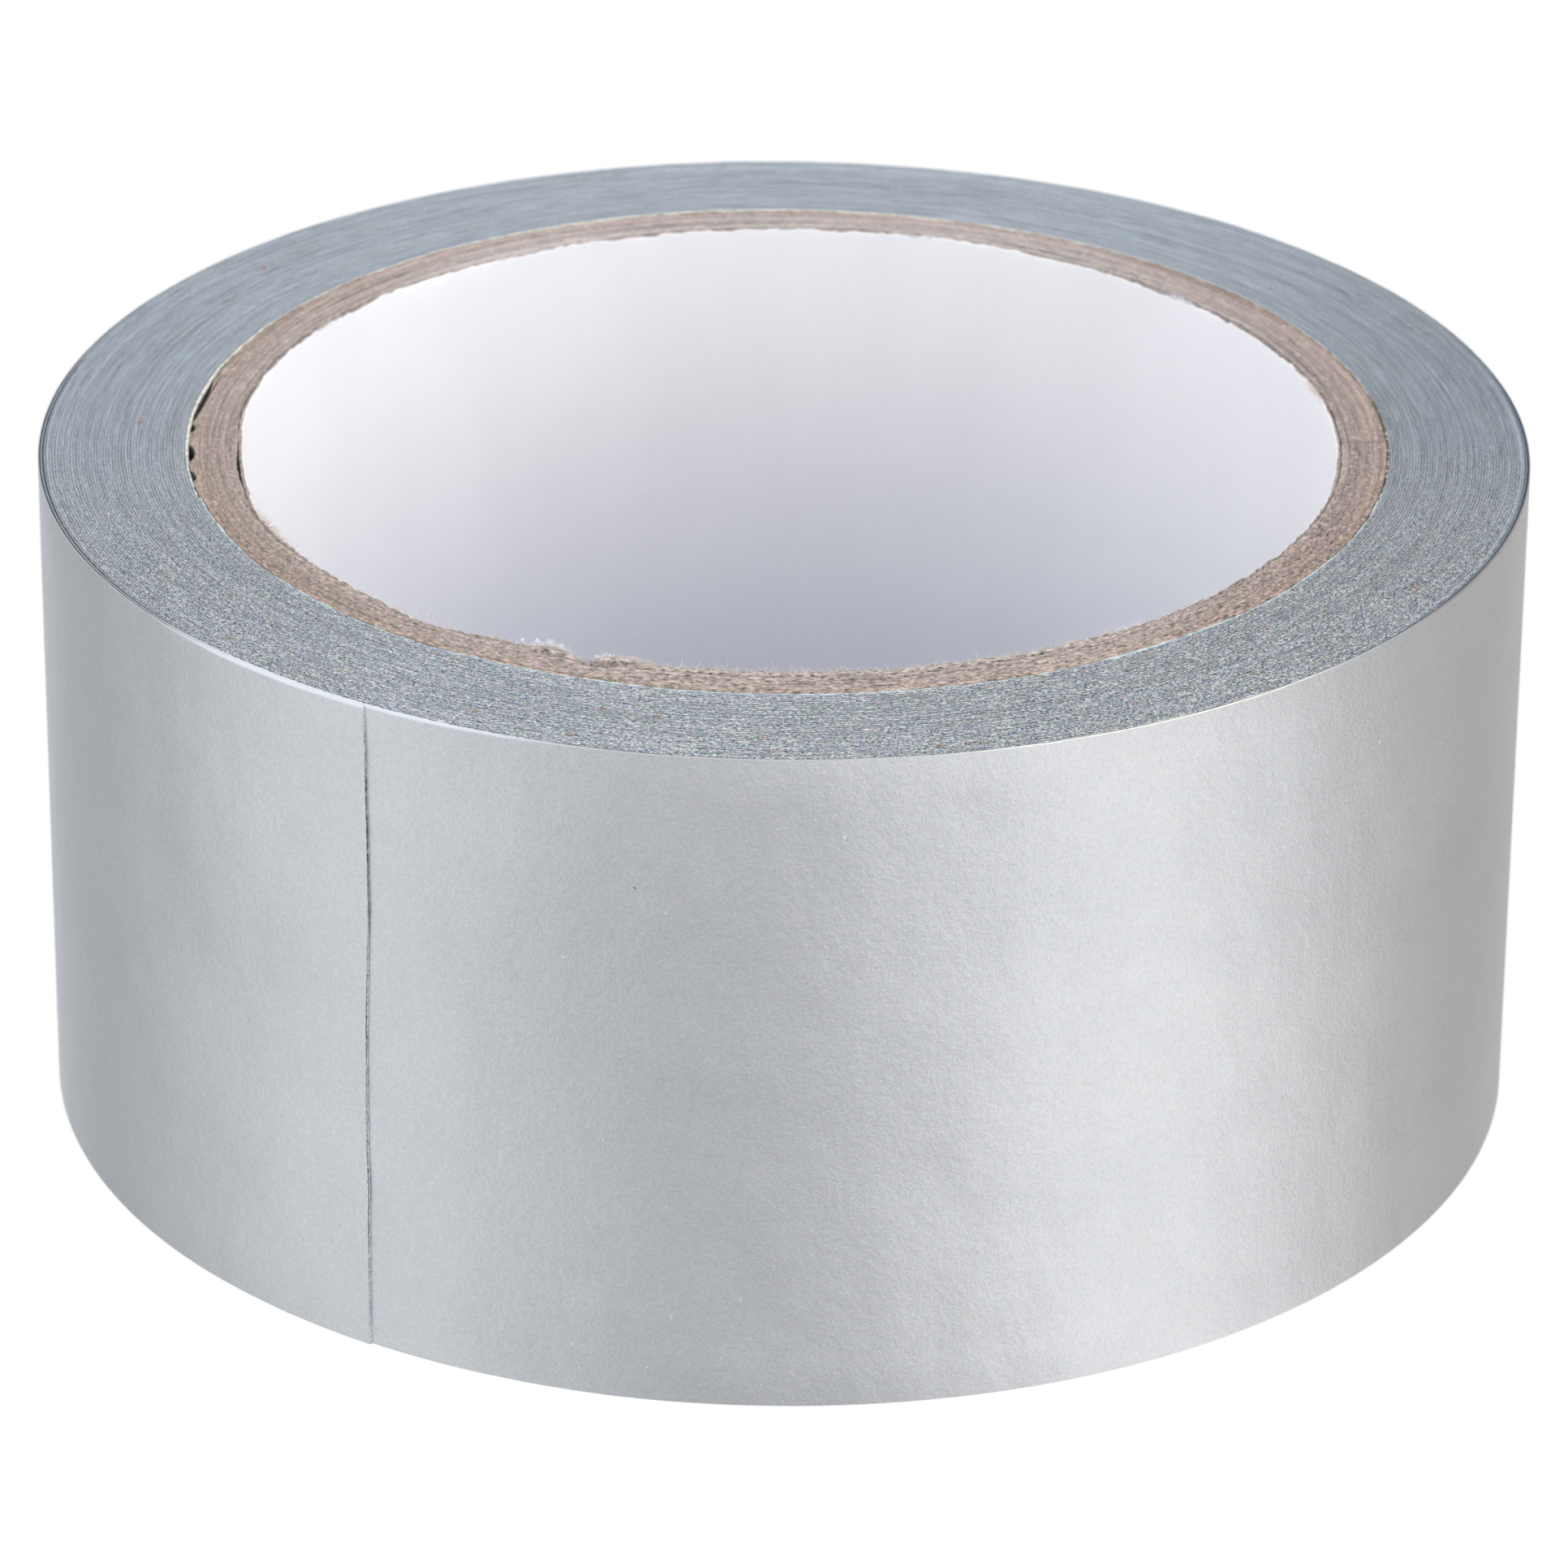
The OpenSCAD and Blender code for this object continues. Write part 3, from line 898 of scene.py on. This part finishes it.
def ply(k, inner, outer):
    """One paperboard ply: a tube with a rough sawn edge and worn corners."""
    deg = around(RING_STEPS)
    gap_in = 0.002 + 0.006 * np.clip(ring_noise(deg, 90, 300 + k), 0, 1)
    gap_in = gap_in + 0.02 * np.clip(ring_noise(deg, 34, 310 + k) - 0.45, 0, 1)
    gap_out = 0.002 + 0.005 * np.clip(ring_noise(deg, 110, 320 + k), 0, 1)
    if k == 6:
        outer = first_turn(deg)
        # a crack inside the outermost ply, and the hollows under its skin
        gap_in = gap_in + 0.13 * near(deg, 168.5, 5.5) + 0.06 * near(deg, 250.0, 5.0)
        gap_out = gap_out + SKIN + 0.05
        gap_out = gap_out + 0.10 * near(deg, 100.0, 62.0) + 0.07 * near(deg, 176.0, 30.0)
        for centre, half, depth in HOLLOWS:
            gap_out = gap_out + near(deg, centre, half * 1.2) ** 0.3 * depth
    if k == 1:
        gap_in = 0.0 * deg
    level = 0.030 * ring_noise(deg, 40, 330 + k) + 0.022 * ring_noise(deg, 150, 340 + k)
    level = level + 0.012 * TABLE[(k * 17) % 4096]
    if k == 1:
        # the innermost ply is worn down in places, most just past a step in front on the left
        step = np.clip((deg - 226.0) / 1.5, 0, 1) * np.clip((244.0 - deg) / 9.0, 0, 1)
        level = level - 0.30 * step - 0.10 * np.clip(ring_noise(deg, 50, 331) - 0.1, 0, 1)
        level = level - 0.15 * near(deg, 320.0, 12.0)
        level = level + frayed(deg)
    if k == 2:
        level = level - 0.16 * near(deg, 229.5, 3.0)
    rows = []
    for share, height in PLY_EDGE:
        seed = k * 9 + int(share * 10)
        rough = 0.024 * ring_noise(deg, 700, 360 + seed) + 0.020 * ring_noise(deg, 260, 370 + seed)
        if share in (0.0, 1.0):
            rough = rough * 0.5
        radius = (inner + gap_in) * (1 - share) + (outer - gap_out) * share
        if k == 1:
            lean = come_away(deg) - 0.21 * near(deg, 189.0, 5.5) ** 0.6
            radius = radius - lean * (1 - share) ** 1.2
        if k == 1 and share < 0.1:
            radius = radius + 0.05 * ring_noise(deg, 240, 390)
            radius = radius + 0.03 * ring_noise(deg, 600, 391) + 0.03
        rows.append((radius, WIDTH + height + level + rough))
    # outer wall down, closing the hollows below the edge, then the foot, then the inner wall up
    full = SKIN + 0.06 if k == 6 else 0.004
    rows += [
        (outer - gap_out, WIDTH - 2.5),
        (outer - full - (gap_out - full) * 0.6, WIDTH - 7.0),
        (outer - full, WIDTH - 12.0),
        (outer - full, 0.10),
        (outer - full - 0.06, 0.02),
        (inner + 0.08, 0.02),
        (inner, 0.10),
        (inner, WIDTH - 6.0),
        (inner + gap_in - (0.6 * come_away(deg) if k == 1 else 0.0), WIDTH - 2.5),
    ]
    slots = [0] * len(rows)
    if k == 6:
        slots[6:9] = [1] * 3
    mats = [MAT_KRAFT[k - 1], MAT_POCKET]
    tube(f"kraft_ply_{k}", deg, rows, outer, mats, slots, f"core_ply_{k}")


def skin():
    """Pale outermost skin of the core, against the first turn."""
    deg = around(RING_STEPS)
    outer = first_turn(deg)
    wide = 0.085 + 0.145 * near(deg, 176.0, 30.0) + 0.16 * near(deg, 100.0, 62.0)
    wide = wide + 0.045 * ring_noise(deg, 70, 523) + 0.04 * ring_noise(deg, 420, 520)
    inner = outer - np.clip(wide, 0.04, 0.30)
    top = WIDTH + 0.02 + 0.03 * ring_noise(deg, 80, 521) + 0.03 * ring_noise(deg, 300, 522)
    rows = [
        (inner, 0.03),
        (outer, 0.03),
        (outer, top - 0.02),
        (outer - 0.02, top),
        (inner + 0.02, top),
        (inner, top - 0.02),
    ]
    mats = [MAT_SKIN, MAT_POCKET]
    tube("core_outer_skin", deg, rows, outer, mats, [0, 0, 0, 0, 0, 1], "core_ply_6")


def liner():
    """White paper tube with a brown, unevenly torn edge."""
    deg = around(LINER_STEPS)
    tear = 0.09 + 0.09 * np.clip(ring_noise(deg, 60, 400), -0.6, 1)
    tear = tear + 0.07 * ring_noise(deg, 240, 401) + 0.07 * ring_noise(deg, 620, 402)
    # places where the paper is torn down further
    tear = tear * (1.0 - 0.7 * near(deg, 187.0, 16.0)) + 0.30 * near(deg, 232.0, 9.0)
    tear = tear + 0.25 * near(deg, 47.0, 7.0) + 0.2 * near(deg, 120.0, 4.0)
    tear = tear + 0.10 * near(deg, 270.0, 80.0) - 0.8 * frayed(deg)
    top = WIDTH - np.clip(tear, -0.35, 1.2)
    wave = 0.06 * ring_noise(deg, 48, 410) + 0.06 * ring_noise(deg, 190, 411)
    wave = wave + 0.03 * ring_noise(deg, 600, 412)
    rows = [
        (LINER_OUT, 0.15),
        (LINER_OUT, WIDTH - 8.0),
        (LINER_OUT, WIDTH - 3.0),
        (LINER_OUT - 0.02, top - 0.08),
        (LINER_OUT - 0.07, top),
        ((LINER_OUT + HOLE) / 2 + wave * 0.4, top + 0.02),
        (HOLE + 0.10 + wave * 0.8, top - 0.04),
        (HOLE + 0.02 + wave * 0.3, top - 0.09),
        (HOLE, top - 0.30),
    ]
    rows += [(HOLE, WIDTH - down) for down in (2.0, 4.0, 8.0, 16.0, 28.0)]
    rows += [(HOLE, z) for z in (8.0, 1.0, 0.2)]
    rows += [(HOLE + 0.08, 0.03), (LINER_OUT - 0.06, 0.03)]
    # at the left the liner has come away from the board, with a crevice behind it
    away = come_away(deg)
    rows = [
        (radius - away * np.clip((z - (WIDTH - 9.0)) / 9.0, 0, 1) ** 1.5, z) for radius, z in rows
    ]
    slots = [2, 2, 2, 1, 1, 1] + [0] * (len(rows) - 6)
    mats = [MAT_PAPER, MAT_KRAFT[0], MAT_POCKET]
    tube("white_paper_liner", deg, rows, HOLE, mats, slots, "core_liner")


for k, (inner, outer) in enumerate(zip([LINER_OUT] + PLY_OUT[:-1], PLY_OUT), 1):
    ply(k, inner, outer)
skin()
liner()


# ---------------------------------------------------------------- small things
UP = np.array([0, 0, 1])
HAIR_SIDES, HAIR_RINGS = 4, 6
FLAKE_ROWS = 7
FLAKE_SIZE, FLAKE_THICK, FLAKE_LIFT = 0.5, 0.03, 0.4
FLAKE_TAPER = np.array([1.0, 0.95, 0.9, 0.7, 0.55, 0.35, 0.15])  # width from foot to tip


class Pile:
    """Many small loose things gathered in one mesh."""

    def __init__(self):
        self.verts, self.faces, self.slots, self.mats = [], [], [], []

    def add(self, verts, faces, mat):
        base = len(self.verts)
        if mat not in self.mats:
            self.mats.append(mat)
        self.verts.extend(verts)
        self.faces.extend(tuple(base + i for i in face) for face in faces)
        self.slots.extend([self.mats.index(mat)] * len(faces))

    def hairs(self, hairs, radius, curl, mat, seed):
        """Curved tapering hairs, from (root, direction, length)."""
        draw = np.random.default_rng(seed)
        turns = [2 * math.pi * q / HAIR_SIDES for q in range(HAIR_SIDES)]
        share = np.linspace(0, 1, HAIR_RINGS)
        faces = []
        for i in range(0, (HAIR_RINGS - 1) * HAIR_SIDES, HAIR_SIDES):
            for q in range(HAIR_SIDES):
                q2 = (q + 1) % HAIR_SIDES
                faces.append((i + q, i + q2, i + HAIR_SIDES + q2, i + HAIR_SIDES + q))
        tip = (HAIR_RINGS - 1) * HAIR_SIDES
        faces += [(0, 3, 2, 1), (tip, tip + 1, tip + 2, tip + 3)]
        for root, way, length in hairs:
            way = np.array(way, float)
            way /= np.linalg.norm(way)
            side = np.cross(way, draw.normal(size=3))
            side /= np.linalg.norm(side) + 1e-9
            bend = (curl * draw.uniform(0.3, 1.0) * length * share * share)[:, None]
            line = np.array(root)[None] + way[None] * (share * length)[:, None] + side[None] * bend
            across = np.cross(way, side)
            thick = radius * (0.45 + 0.75 * (1 - share)) * draw.uniform(0.7, 1.3)
            verts = [
                line[i] + thick[i] * (math.cos(turn) * side + math.sin(turn) * across)
                for i in range(HAIR_RINGS)
                for turn in turns
            ]
            self.add(verts, faces, mat)

    def flakes(self, places, mat, seed):
        """Torn scraps: small crumpled sheets. places: (x, y, z), direction and scale."""
        draw = np.random.default_rng(seed)
        rows = FLAKE_ROWS
        back = rows * rows
        faces = []
        for i in range(rows - 1):
            for j in range(rows - 1):
                a = i * rows + j
                faces.append((a, a + 1, a + rows + 1, a + rows))
                b = a + back
                faces.append((b, b + rows, b + rows + 1, b + 1))
        last = rows - 1
        for i in range(last):
            for a, b in (
                (i * rows, (i + 1) * rows),
                ((i + 1) * rows + last, i * rows + last),
                (i + 1, i),
                (last * rows + i, last * rows + i + 1),
            ):
                faces.append((a, b, b + back, a + back))
        for place, deg, scale in places:
            out = np.array([math.cos(math.radians(deg)), math.sin(math.radians(deg)), 0])
            along = np.array([-out[1], out[0], 0])
            size = FLAKE_SIZE * scale
            wide = size * (0.55 + 0.45 * FLAKE_TAPER * draw.uniform(0.7, 1.1, rows))
            tall = size * (0.5 + 0.5 * draw.uniform(-1, 1, rows))
            grid = np.zeros((rows, rows, 3))
            for i, u in enumerate(np.linspace(-0.5, 0.5, rows)):
                for j, v in enumerate(np.linspace(-0.5, 0.5, rows)):
                    bend = 0.35 * FLAKE_SIZE * scale * (v + 0.5) ** 2
                    rise = UP * (v + 0.5) * tall[i] * FLAKE_LIFT * 2
                    crumple = draw.normal(size=3) * 0.02 * scale
                    grid[i, j] = np.array(place) + along * u * wide[j] + rise - out * bend + crumple
            verts = []
            for layer in (0, 1):
                verts.extend(list(grid.reshape(-1, 3) - out * FLAKE_THICK * (layer - 0.5)))
            self.add(verts, faces, mat)

    def make(self, name):
        verts = dented(self.verts)
        piece = build(name, verts, np.array(self.faces), self.mats, np.array(self.slots), verts)
        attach(piece, "roll")


def polar(radius, deg, z):
    return (radius * math.cos(math.radians(deg)), radius * math.sin(math.radians(deg)), z)


def core_fibre(deg, depth, base, height, inward, along, rise):
    """Random root and direction of a fibre on the hole's upper edge.

    base: how far below the top it stands. The others are (least, most): depth into the core,
    height about the base, and the direction's three parts.
    """
    radius = HOLE + rng.uniform(*depth)
    z = WIDTH - base + rng.uniform(*height) + 0.8 * float(frayed(deg))
    to_axis = np.array([-math.cos(math.radians(deg)), -math.sin(math.radians(deg)), 0])
    aside = np.array([-to_axis[1], to_axis[0], 0])
    way = to_axis * rng.uniform(*inward) + aside * rng.uniform(*along)
    return polar(radius, deg, z), way + np.array([0, 0, rng.uniform(*rise)])


core_pile, tape_pile = Pile(), Pile()

# Fibres along the inside corner of the core, thickest in front:
# count, material, seed, radius, usual shortest and longest
FIBRES = [
    (1700, MAT_FUZZ, 5, 0.011, 0.10, 0.34),
    (500, MAT_FUZZ_BROWN, 15, 0.012, 0.08, 0.28),
]
for count, mat, seed, radius, shortest, longest in FIBRES:
    hairs = []
    for i in range(count):
        deg = rng.uniform(0, 360) if i % 2 else 270.0 + rng.normal() * 34.0
        root, way = core_fibre(
            deg % 360.0, depth=(-0.02, 0.75), base=0.05, height=(-0.12, 0.03),
            inward=(-0.1, 1.0), along=(-0.9, 0.9), rise=(0.1, 1.0),
        )
        usual = rng.random() < 0.94
        length = rng.uniform(shortest, longest) if usual else rng.uniform(0.4, 0.8)
        hairs.append((root, way, length))
    core_pile.hairs(hairs, radius, curl=0.5, mat=mat, seed=seed)

# Tufts of pulled-up paper: direction, half width in degrees, count, longest, material, seed
TUFTS = [
    (246.3, 2.2, 150, 0.55, MAT_TORN, 21),
    (252.2, 0.8, 40, 0.5, MAT_TORN, 22),
    (254.5, 2.0, 90, 0.35, MAT_FUZZ, 23),
    (262.5, 0.7, 30, 0.32, MAT_FUZZ_BROWN, 24),
    (76.0, 1.2, 40, 0.4, MAT_TORN, 25),
    (42.0, 1.6, 60, 0.5, MAT_TORN, 26),
    (13.5, 2.6, 120, 0.75, MAT_FUZZ, 27),
    (150.0, 2.5, 90, 0.6, MAT_FUZZ, 28),
    (205.0, 4.5, 150, 0.90, MAT_FUZZ, 29),
    (203.0, 6.0, 110, 0.70, MAT_FUZZ_BROWN, 31),
    (306.0, 2.0, 50, 0.4, MAT_TORN, 30),
]
for centre, half, count, longest, mat, seed in TUFTS:
    hairs = []
    for i in range(count):
        deg = centre + half * float(np.clip(rng.normal() * 0.55, -1.2, 1.2))
        root, way = core_fibre(
            deg, depth=(0.0, 0.3), base=0.10, height=(-0.08, 0.04),
            inward=(0.0, 1.0), along=(-1.2, 1.2), rise=(0.1, 0.7),
        )
        hairs.append((root, way, longest * rng.uniform(0.3, 1.0)))
    core_pile.hairs(hairs, radius=0.012, curl=0.6, mat=mat, seed=seed)

# Scraps of the liner at its edge: distance outside the hole, direction, height over the top, scale
SCRAPS = [
    (0.0, 246.3, 0.28, 1.1), (0.0, 247.5, 0.20, 0.9), (-0.05, 244.9, 0.22, 0.7),
    (-0.05, 243.2, 0.12, 0.5), (0.0, 251.3, -0.10, 0.7), (0.0, 252.3, 0.05, 0.6),
    (0.0, 76.0, -0.10, 0.9), (0.0, 74.2, -0.05, 0.7), (0.0, 43.0, -0.2, 1.0),
    (0.1, 40.6, -0.1, 0.7),
]
core_pile.flakes(
    [(polar(HOLE + out, deg, WIDTH + z), deg, scale) for out, deg, z, scale in SCRAPS],
    MAT_TORN,
    seed=9,
)
core_pile.make("loose_fibres_on_core")

# Specks of brown fluff caught on the tape's edge: radius, direction
FLUFF = [
    (46.1, 255.3), (46.5, 259.8), (50.4, 254.1), (50.7, 269.0), (49.6, 24.2), (49.9, 22.8),
    (47.2, 150.0), (48.8, 142.0), (45.6, 178.0), (50.2, 223.0), (44.3, 301.0), (49.0, 330.0),
    (48.6, 268.5), (50.6, 281.5), (50.7, 284.0), (49.3, 246.0),
]
hairs = []
for radius, deg in FLUFF:
    for j in range(8):
        root = polar(radius + rng.normal() * 0.09, deg + rng.normal() * 0.14, WIDTH + 0.02)
        way = (rng.normal(), rng.normal(), abs(rng.normal()) * 0.25 + 0.05)
        hairs.append((root, way, rng.uniform(0.10, 0.32)))
tape_pile.hairs(hairs, radius=0.020, curl=0.6, mat=MAT_FLUFF, seed=6)


def on_film(azimuth, lift):
    """A point on the outside of the tape at an azimuth, and its direction in radians."""
    theta = math.radians(azimuth - 90)
    angle = (math.degrees(theta) - START_DEG) % 360.0
    x, y = spiral_point(angle + 360.0 * math.floor((END - angle) / 360.0))
    return x + math.cos(theta) * lift, y + math.sin(theta) * lift, theta


# Lint on the outside of the tape: azimuth, height, length, slope in degrees
lint = [
    (2.34, 43.65, 0.25, 90), (3.61, 43.75, 0.45, 75), (4.38, 42.3, 0.7, 60),
    (5.41, 43.6, 0.35, 110), (6.7, 39.5, 0.3, 80),
]
# more of it scattered at random: count, then the (least, most) of each column
for count, *ranges in (
    (50, (-28, 72), (2, 46), (0.08, 0.34), (0, 180)),
    (14, (-16, 12), (0.8, 8.0), (0.10, 0.40), (60, 150)),
):
    for i in range(count):
        lint.append(tuple(rng.uniform(*limits) for limits in ranges))
hairs = []
for azimuth, z, length, slope in lint:
    x, y, theta = on_film(azimuth, lift=0.006)
    level = np.array([-math.sin(theta), math.cos(theta), 0]) * math.cos(math.radians(slope))
    hairs.append(((x, y, z), level + UP * math.sin(math.radians(slope)), length))
tape_pile.hairs(hairs, radius=0.026, curl=0.25, mat=MAT_LINT, seed=8)

# one dark speck on the film
x, y, theta = on_film(-10.71, lift=0.0)
speck = ((x, y, 38.3), (-math.sin(theta), math.cos(theta), -0.5), 0.26)
tape_pile.hairs([speck], radius=0.04, curl=0.1, mat=MAT_SPECK, seed=10)
tape_pile.make("lint_on_tape")


# ---------------------------------------------------------------- studio
# Brightness of the studio, as glossy and as other rays see it. right, left: (peak, azimuth,
# width) of the softboxes, _up for those above the horizon. back, back_left: (brightness,
# azimuth where it starts, azimuth where it is full). base: the surround. top: overhead.
# lean: degrees the lower right box shifts for each unit of height.
GLOSS = dict(
    base=0.482, right=(1.19, 50.5, 35.0), left=(0.70, -66.0, 36.0),
    back=(0.17, 136.0, 162.0), back_left=(0.72, 132.0, 178.0),
    base_up=0.60, right_up=(0.8, 58.0, 34.0), left_up=(1.5, -72.0, 36.0), top=1.05, lean=95.0,
)
SOFT = dict(
    base=0.80, right=(0.45, 75.0, 60.0), left=(0.35, -80.0, 60.0),
    back=(0.10, 120.0, 175.0), back_left=(0.10, 120.0, 175.0),
    base_up=0.73, right_up=(2.78, 71.0, 38.0), left_up=(2.00, -66.0, 36.0), top=0.81, lean=0.0,
)


def studio_light(net, azimuth, z, look):
    """Brightness of the studio by direction."""

    def bell(peak, centre, width, lean=0.0):
        # a leaning box is further round the lower down it is
        at = azimuth + (z + 0.40) * math.radians(lean) if lean else azimuth
        off = (at - math.radians(centre)) / math.radians(width)
        return net.math("EXPONENT", off * off * -1.0) * peak

    def behind(angle, brightness, start, full):
        return net.fade(angle, math.radians(start), math.radians(full), high=brightness)

    back = behind(azimuth, *look["back"])
    back = back + behind(azimuth * -1.0, *look["back_left"])
    low = bell(*look["right"], look["lean"]) + bell(*look["left"]) + (back + look["base"])
    high = bell(*look["right_up"]) + bell(*look["left_up"]) + (back + look["base_up"])
    above = net.fade(z, math.sin(math.radians(-4)), math.sin(math.radians(14)))
    overhead = net.fade(z, math.sin(math.radians(40)), math.sin(math.radians(75)))
    light = low * (1.0 - above) + high * above
    return light * (1.0 - overhead) + overhead * look["top"]


def world():
    """A soft studio with a softbox at either side and a pale surround; white to the camera."""
    studio = bpy.data.worlds.new("studio")
    bpy.context.scene.world = studio
    net = Net(studio)
    net.tree.nodes.clear()
    x, y, z = net.split(net.add("TexCoord", output="Generated"))
    azimuth = net.azimuth(x, y)
    # cooler from the left, warmer from the right and from behind it
    colour = net.mix(
        net.fade(azimuth, math.radians(-60), math.radians(50)),
        (0.949, 0.984, 1.020),
        (0.989, 0.996, 1.003),
    )
    behind = net.fade(azimuth, math.radians(75), math.radians(140))
    colour = net.mix(behind, colour, (1.0, 0.995, 0.965))
    glossy = net.add("LightPath", output="Is Glossy Ray")
    soft, gloss = [studio_light(net, azimuth, z, look) for look in (SOFT, GLOSS)]
    light = net.add("Mix", glossy, None, soft, gloss, data_type="FLOAT")
    lit = net.add("Background", colour, light)
    white = net.add("Background", (1, 1, 1), 1.0)
    shader = net.add("MixShader", glossy.sibling("Is Camera Ray"), lit, white)
    net.put(net.tree.nodes.new("ShaderNodeOutputWorld").inputs[0], shader)


FLOOR_HALF, FLOOR_CELLS, FLOOR_Z = 1500, 40, -0.02


def floor():
    """A plain pale table under the foot of the roll, pure white to the camera."""
    line = np.linspace(-1, 1, FLOOR_CELLS + 1)
    x, y = np.meshgrid(line * FLOOR_HALF, line * FLOOR_HALF, indexing="ij")
    verts = np.stack([x, y, np.full_like(x, FLOOR_Z)], -1).reshape(-1, 3)
    index = np.arange((FLOOR_CELLS + 1) ** 2).reshape(FLOOR_CELLS + 1, FLOOR_CELLS + 1)
    quads = np.stack([index[:-1, :-1], index[1:, :-1], index[1:, 1:], index[:-1, 1:]], -1)
    net = material_net("pale_table")
    tone = net.noise(net.attr("rest"), scale=0.02)
    colour = net.ramp(tone, (0.3, (0.30, 0.30, 0.32)), (0.7, (0.33, 0.33, 0.35)))
    mat = net.surface(colour, 0.7)
    lit = Value(net, net.tree.nodes["Principled BSDF"].outputs[0])
    white = net.add("Emission", (1, 1, 1), 1.0)
    shader = net.add("MixShader", net.add("LightPath", output="Is Camera Ray"), lit, white)
    net.put(net.tree.nodes["Material Output"].inputs[0], shader)
    table = build("table", verts, quads, [mat], None, verts)
    table.visible_glossy = False


world()
floor()

# ---------------------------------------------------------------- camera
# Columns: the camera's right, its up, the way behind it, and its place in metres
CAMERA_POSE = (
    (0.9999679, -0.0080147, -0.0001365, 0.0),
    (0.0033892, 0.4381627, -0.8988893, -0.530621),
    (0.0072642, 0.8988599, 0.4381758, 0.279624),
    (0, 0, 0, 1),
)
LENS, SENSOR = 189.820062, 36.0
FOCUS_SHARE = 0.0707  # how far the focus point stands from the roll towards the camera


def camera():
    scene = bpy.context.scene
    data = bpy.data.cameras.new("camera")
    eye = bpy.data.objects.new("camera", data)
    scene.collection.objects.link(eye)
    eye.matrix_world = Matrix(CAMERA_POSE)
    data.sensor_width = SENSOR
    data.lens = LENS
    data.dof.use_dof = True
    data.dof.aperture_fstop = 100.0
    # sharp at the near side of the roll, from wherever it is seen
    point = bpy.data.objects.new("focus_point", None)
    point.location = (0, 0, WIDTH * MM)
    scene.collection.objects.link(point)
    pull = point.constraints.new("COPY_LOCATION")
    pull.target = eye
    pull.influence = FOCUS_SHARE
    data.dof.focus_object = point
    data.clip_start = 0.01
    data.clip_end = 20.0
    scene.camera = eye
    scene.view_settings.view_transform = "Standard"
    scene.view_settings.look = "None"
    scene.view_settings.exposure = 0.0
    scene.view_settings.gamma = 1.0


camera()
